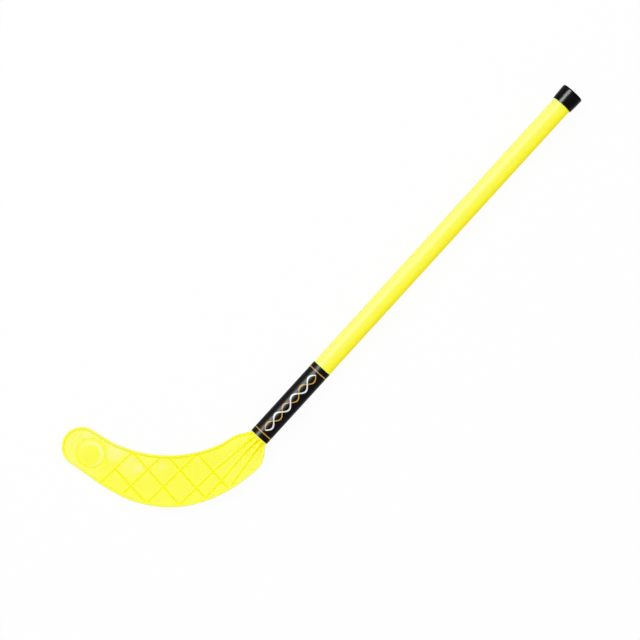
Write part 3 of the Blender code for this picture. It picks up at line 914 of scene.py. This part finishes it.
def moulded_yellow(colours):
    """The blade's plastic with painted shade and painted highlights, and random deeper mottling.

    Painted shade lies in the groove, on shaded rim slopes and rib flanks and by the collar; painted
    highlights lie round the toe's disc, along the top, near the collar towards the lower edge and on
    lit flanks.
    """
    material, shader, place = new_material("moulded_yellow")
    shading_paint = place.node("ShaderNodeAttribute", {"attribute_name": "tone"}, None, 2)
    cloud = place.noise(0.02, 3.0)
    fine = place.noise(0.25, 3.0, 0.6)
    grain = place.noise(1.8, 3.0)
    c, s = math.cos(LIE_ANGLE), math.sin(LIE_ANGLE)
    along, across = place.dot(c, -s, 0.0), place.dot(s, c, 0.0)
    wave = cloud * 14.0 - 7.0

    def patch(x, y, inner, outer, share):
        """A soft round patch about a place on the blade, full inside and gone outside."""
        return (place.away(x, y, 0.0) + wave * 0.4).ease(inner, outer, share, 0.0)

    # Painted highlight along the top of the blade towards the toe, left out in the plain spots
    top_highlight = (across + wave).ease(-62.0, -40.0, 0.0, 0.42) * along.ease(-190.0, -110.0, 1.0, 0.0)
    for spot in PLAIN_SPOTS:
        top_highlight = top_highlight * (1.0 - patch(*spot))
    # Faint painted highlight near the collar, towards the lower edge
    collar_highlight = along.ease(-60.0, -20.0, 0.0, 0.15) * across.ease(-40.0, -10.0, 1.0, 0.0)
    # Painted highlight also where the painted shading is below zero
    highlight = top_highlight + collar_highlight + shading_paint.ease(-1.0, 0.0, 1.0, 0.0)
    # Painted highlight spots
    for spot in HIGHLIGHT_SPOTS:
        highlight = highlight.most(patch(*spot))
    x, y = to_stick(DISC_CENTRE) / MM
    # Painted highlight over the toe's disc, cut back to a crescent
    disc_highlight = place.away(x, y, 0.0).ease(16.5, 18.5, 0.9, 0.0)
    highlight = highlight.most(disc_highlight * (1.0 - patch(x + DISC_SPOT[0], y + DISC_SPOT[1], *DISC_SPOT[2:])))
    pale = highlight.tint(rgba(colours.blade_yellow), rgba(colours.highlight_and_line_yellow))
    # Painted shade from the mesh, a painted shade spot in the disc, and random deeper mottling
    shade_and_mottle = shading_paint.most(0.0) + patch(*SHADE_SPOT) + fine.ease(0.3, 0.8, 0.0, 0.12)
    # Amber painted shade near the collar, weaker towards the toe's side
    collar_shade = shading_paint.ease(1.0, 2.0) * place.part(1).ease(1.0, 5.0, 1.0, 0.25)
    body = shade_and_mottle.tint(pale, rgba(colours.shade_and_mottle_yellow))
    feed(shader, Base_Color=collar_shade.tint(body, rgba(colours.shade_amber)),
         Roughness=fine.ease(0.2, 0.8, 0.42, 0.5),
         Specular_IOR_Level=BLADE_MIRROR, Normal=bump(grain, 0.02 * MM))
    return material


class STICK_OT_blade(bpy.types.Operator):
    """Moulded blade: rimmed web with lattice, toe disc, fluted neck and collar"""

    bl_idname = "stick.blade"
    bl_label = "Blade"

    def execute(self, context):
        sizes, colours = context.scene.stick_sizes, context.scene.stick_colours
        outline = blade_outline(sizes.shaft_diameter / 2, sizes.rim_thickness / 2, OUTLINE_SPACING)
        shells = Shells()
        edge = add_rim(shells, sizes, outline)
        hole = add_disc(shells, sizes)
        add_web(shells, sizes, edge, hole)
        add_neck(shells, sizes, outline)
        add_ribs(shells, sizes, outline)
        add_collar(shells, sizes)
        piece("moulded_blade", shells, moulded_yellow(colours), "blade")
        return {"FINISHED"}


# Shaft, film, cap and screws

def drawn_yellow(colours):
    """The tube's plastic: painted highlight towards the toe's side and painted shade on the other, with
    drawn lines.
    """
    material, shader, place = new_material("drawn_yellow")
    turn = turn_about_shaft(place)
    drawn = place.stretched(0.02, 1.0, 1.0).noise(0.55, 4.0, 0.6)
    cloud = place.noise(0.018, 3.0)
    front = turn.size().ease(2.1, 2.9, 1.0, 0.0)
    # Painted highlight on the tube's front towards the toe's side, plus pale drawn lines
    pale = (turn + cloud * 0.2).ease(-0.75, 0.95, 0.0, 0.62) * front + drawn.ease(0.35, 0.8, 0.0, 0.06)
    # Painted shade on the tube's front, on the side away from the toe
    shade_share = turn.ease(-1.2, -0.5, 0.6, 0.0) * front
    body = pale.tint(rgba(colours.tube_yellow), rgba(colours.highlight_and_line_yellow))
    feed(shader, Base_Color=shade_share.tint(body, rgba(colours.shade_amber)),
         Roughness=drawn.ease(0.2, 0.8, 0.32, 0.42),
         Specular_IOR_Level=TUBE_MIRROR, Normal=bump(drawn, 0.012 * MM))
    return material


class STICK_OT_shaft(bpy.types.Operator):
    """Extruded tube with faint lines drawn along it"""

    bl_idname = "stick.shaft"
    bl_label = "Shaft"

    def execute(self, context):
        sizes, colours = context.scene.stick_sizes, context.scene.stick_colours
        start, end = TUBE_LOW.x - FILM_LOW.x, TUBE_HIGH.x - FILM_LOW.x
        radius = sizes.shaft_diameter / 2
        shells = Shells()
        turned(shells, sleeve(radius - sizes.shaft_wall, radius, start, end, TUBE_CHAMFER), ROUND_STEPS)
        piece("extruded_tube", shells, drawn_yellow(colours), "shaft_tube")
        return {"FINISHED"}


def printed_film(colours):
    """Glossy black film with a ring at each end, and two ribbons that cross on its front.

    The white ribbon is a sine wave of the place along the shaft, and the gold one its mirror image.
    """
    material, shader, place = new_material("printed_film")
    way_round = turn_about_shaft(place) / (2 * math.pi) * PRINT_ROUND
    along = place.part(0) - PRINT_MIDDLE
    swing = place.math("SINE", along / RIBBON_PACE) * RIBBON_SWING
    from_middle = along.size()
    ribbons = from_middle < RIBBON_REACH
    white = ((way_round - swing).size() < WHITE_HALF) * ribbons
    gold = ((way_round + swing).size() < GOLD_HALF) * ribbons + from_middle.between(*GOLD_RING)
    ground = gold.tint(rgba(colours.film_black), rgba(colours.print_gold))
    crinkle = place.stretched(0.35, 1.0, 1.0).noise(0.12, 2.0)
    feed(shader, Base_Color=white.tint(ground, rgba(colours.print_white)),
         Roughness=crinkle.ease(0.2, 0.8, 0.31, 0.38),
         Specular_IOR_Level=BLACK_MIRROR, Normal=bump(crinkle + white * 0.15, 0.05 * MM))
    return material


class STICK_OT_film(bpy.types.Operator):
    """Black film wrapped round the joint, with its lap at the back"""

    bl_idname = "stick.film"
    bl_label = "Film"

    def execute(self, context):
        sizes, colours = context.scene.stick_sizes, context.scene.stick_colours
        inner = sizes.shaft_diameter / 2 + sizes.film_gap
        outer = inner + sizes.film_thickness
        profile = sleeve(inner, outer, 0.0, FILM_HIGH.x - FILM_LOW.x, FILM_CHAMFER)
        from_lap = (full_turn(FILM_STEPS) - LAP_ANGLE + math.pi) % (2 * math.pi) - math.pi
        from_lap = from_lap * outer
        ramp = 1.0 - np.abs(from_lap - LAP_HALF) / LAP_SLOPE + LAP_HALF / LAP_SLOPE
        lap = LAP_RISE * np.clip(ramp, 0.0, 1.0)
        shells = Shells()
        turned(shells, profile, FILM_STEPS, np.where(profile[:, :1] > inner, lap, 0.0))
        piece("wrapped_film", shells, printed_film(colours), "label_sleeve")
        return {"FINISHED"}


def moulded_black(colours):
    """The cap's plastic: black with dark grey clouds and a fine grain."""
    material, shader, place = new_material("moulded_black")
    grain = place.noise(2.2, 3.0)
    cloud = place.noise(0.12, 2.0)
    feed(shader, Base_Color=cloud.ease(0.3, 0.7).tint(rgba(colours.cap_black), rgba(colours.cap_grey)),
         Roughness=cloud.ease(0.2, 0.8, 0.2, 0.26),
         Specular_IOR_Level=BLACK_MIRROR, Normal=bump(grain, 0.02 * MM))
    return material


class STICK_OT_cap(bpy.types.Operator):
    """Push-on cap with a swelling side, a rounded edge and a flat end"""

    bl_idname = "stick.cap"
    bl_label = "End cap"

    def execute(self, context):
        sizes, colours = context.scene.stick_sizes, context.scene.stick_colours
        mouth, end = CAP_LOW.x - FILM_LOW.x, CAP_HIGH.x - FILM_LOW.x
        seat = TUBE_HIGH.x - FILM_LOW.x + SEAT_GAP
        inner = sizes.shaft_diameter / 2 + SEAT_GAP
        wide, narrow = CAP_END_RADIUS, CAP_MOUTH_RADIUS
        low, high = CAP_MOUTH_ROUND, CAP_END_ROUND
        share = np.linspace(0.0, 1.0, SWELL_POINTS)[1:, None]
        swell = np.hstack([
            narrow + (wide - narrow) * np.sin(np.pi / 2 * share),
            mouth + low + (end - high - mouth - low) * share,
        ])
        profile = np.vstack([
            [(0.0, seat), (inner, seat), (inner, mouth)],
            arc((narrow - low, mouth + low), low, -90.0, 0.0, CORNER_POINTS),
            swell,
            arc((wide - high, end - high), high, 0.0, 90.0, CAP_END_POINTS)[1:],
            [(wide * 0.5, end), (0.0, end)],
        ])
        shells = Shells()
        turned(shells, profile, ROUND_STEPS)
        piece("moulded_cap", shells, moulded_black(colours), "end_cap")
        return {"FINISHED"}


class STICK_OT_screws(bpy.types.Operator):
    """Zinc finish of the two screws under the film"""

    bl_idname = "stick.screws"
    bl_label = "Screws"

    def execute(self, context):
        material, shader, place = new_material("zinc_plate")
        wear = place.noise(1.2, 3.0)
        feed(shader, Base_Color=wear.tint(ZINC_LIGHT, ZINC_GREY),
             Roughness=wear.ease(0.2, 0.8, 0.25, 0.45), Metallic=1.0)
        for name in ("blade_screw_1", "blade_screw_2"):
            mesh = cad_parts[name].data
            mesh.materials.clear()
            mesh.materials.append(material)
        return {"FINISHED"}


# Studio

def soft_box(name, along, size, lean, distance, power):
    """A soft box beside the shaft, square to it, leaning from overhead towards the toe's side."""
    light = bpy.data.lights.new(name, "AREA")
    light.shape = "RECTANGLE"
    light.size, light.size_y = size
    light.energy = power
    lamp = bpy.data.objects.new(name, light)
    c, s = math.cos(lean), math.sin(lean)
    columns = Matrix(((1, 0, 0), (0, c, -s), (0, s, c)))
    box = columns.transposed().to_4x4()
    box.translation = Vector((along, 0, 0)) + columns[2] * distance
    lamp.matrix_world = STICK @ box
    bpy.context.scene.collection.objects.link(lamp)
    return lamp


def seen_directly(tree):
    """One for rays that show the background: from the camera, mirrored, or through glass."""
    camera, glossy, glass = (
        Flow(tree).node("ShaderNodeLightPath", output=f"Is {kind} Ray")
        for kind in ("Camera", "Glossy", "Transmission"))
    return camera.most(glossy).most(glass)


class STICK_OT_studio(bpy.types.Operator):
    """Pale floor, soft lamps, even fill from all round and the camera"""

    bl_idname = "stick.studio"
    bl_label = "Studio"

    def execute(self, context):
        scene, studio = context.scene, context.scene.stick_studio
        self.add_camera(scene, studio)
        self.add_floor(scene, studio)
        self.add_world(scene, studio)
        for name in ("sheen", "key", "fill"):
            size, lean, distance, power = (
                getattr(studio, f"{name}_{part}") for part in ("size", "lean", "distance", "power"))
            lamp = soft_box(f"{name}_lamp", studio.lamps_along, size, lean, distance, power)
            lamp.visible_diffuse = name != "sheen"
            lamp.visible_glossy = name == "sheen"
        scene.view_settings.view_transform = "Standard"
        return {"FINISHED"}

    def add_camera(self, scene, studio):
        """Camera square to the blade's plane, turned so that the shaft rises to the right."""
        camera = bpy.data.objects.new("camera", bpy.data.cameras.new("camera"))
        camera.data.lens = studio.lens
        camera.data.clip_end = CAMERA_REACH
        c, s = math.cos(LIE_ANGLE), math.sin(LIE_ANGLE)
        columns = Matrix(((c, -s, 0.0), (s, c, 0.0), (0.0, 0.0, 1.0))).transposed().to_4x4()
        columns.translation = (*studio.aim, studio.distance)
        camera.matrix_world = STICK @ columns
        scene.collection.objects.link(camera)
        scene.camera = camera

    def add_floor(self, scene, studio):
        """Floor just under the stick; to the camera it is mostly plain white, with a soft shadow."""
        mesh = bpy.data.meshes.new("floor")
        corners = [(x * FLOOR_HALF, y * FLOOR_HALF, -FLOOR_DROP)
                   for x, y in ((-1, -1), (1, -1), (1, 1), (-1, 1))]
        mesh.from_pydata(corners, [], [(0, 1, 2, 3)])
        floor = bpy.data.objects.new("floor", mesh)
        scene.collection.objects.link(floor)
        material = bpy.data.materials.new("floor_paper")
        material.use_nodes = True
        tree = material.node_tree
        shader = tree.nodes["Principled BSDF"]
        feed(shader, Base_Color=rgba(studio.floor_colour), Roughness=0.9)
        seen = seen_directly(tree)
        glow = seen.node("ShaderNodeEmission", None, {"Color": WHITE, "Strength": 1.0})
        mixed = seen.node("ShaderNodeMixShader", None, {
            0: seen * FLOOR_GLOW, 1: Flow(tree, shader.outputs[0]), 2: glow,
        })
        feed(tree.nodes["Material Output"], Surface=mixed)
        mesh.materials.append(material)

    def add_world(self, scene, studio):
        """Even fill from all round, plain white where it is seen."""
        world = bpy.data.worlds.new("studio")
        world.use_nodes = True
        tree = world.node_tree
        strength = seen_directly(tree) * (1.0 - studio.room_strength) + studio.room_strength
        feed(tree.nodes["Background"], Color=WHITE, Strength=strength)
        scene.world = world


class STICK_PT_panel(bpy.types.Panel):
    """Lists the stick's sizes, colours and pieces"""

    bl_idname = "STICK_PT_panel"
    bl_label = "Floorball stick"
    bl_space_type = "VIEW_3D"
    bl_region_type = "UI"
    bl_category = "Stick"

    def draw(self, context):
        scene = context.scene
        for group in (scene.stick_sizes, scene.stick_colours, scene.stick_studio):
            box = self.layout.box()
            for name in group.__annotations__:
                box.prop(group, name)
        for operator in OPERATORS:
            self.layout.operator(operator.bl_idname)


GROUPS = {"stick_sizes": StickSizes, "stick_colours": StickColours, "stick_studio": StudioSettings}
OPERATORS = (
    STICK_OT_blade, STICK_OT_shaft, STICK_OT_film, STICK_OT_cap, STICK_OT_screws, STICK_OT_studio,
)


def register():
    """Register the classes and hang the settings on the scene."""
    for cls in (*GROUPS.values(), *OPERATORS, STICK_PT_panel):
        bpy.utils.register_class(cls)
    for name, cls in GROUPS.items():
        setattr(bpy.types.Scene, name, PointerProperty(type=cls))


def unregister():
    """Undo register."""
    for name in GROUPS:
        delattr(bpy.types.Scene, name)
    for cls in (STICK_PT_panel, *reversed(OPERATORS), *reversed(list(GROUPS.values()))):
        bpy.utils.unregister_class(cls)


def main():
    """Build every piece and the studio."""
    register()
    for build in (bpy.ops.stick.blade, bpy.ops.stick.shaft, bpy.ops.stick.film, bpy.ops.stick.cap,
                  bpy.ops.stick.screws, bpy.ops.stick.studio):
        build()


if __name__ == "__main__":
    main()
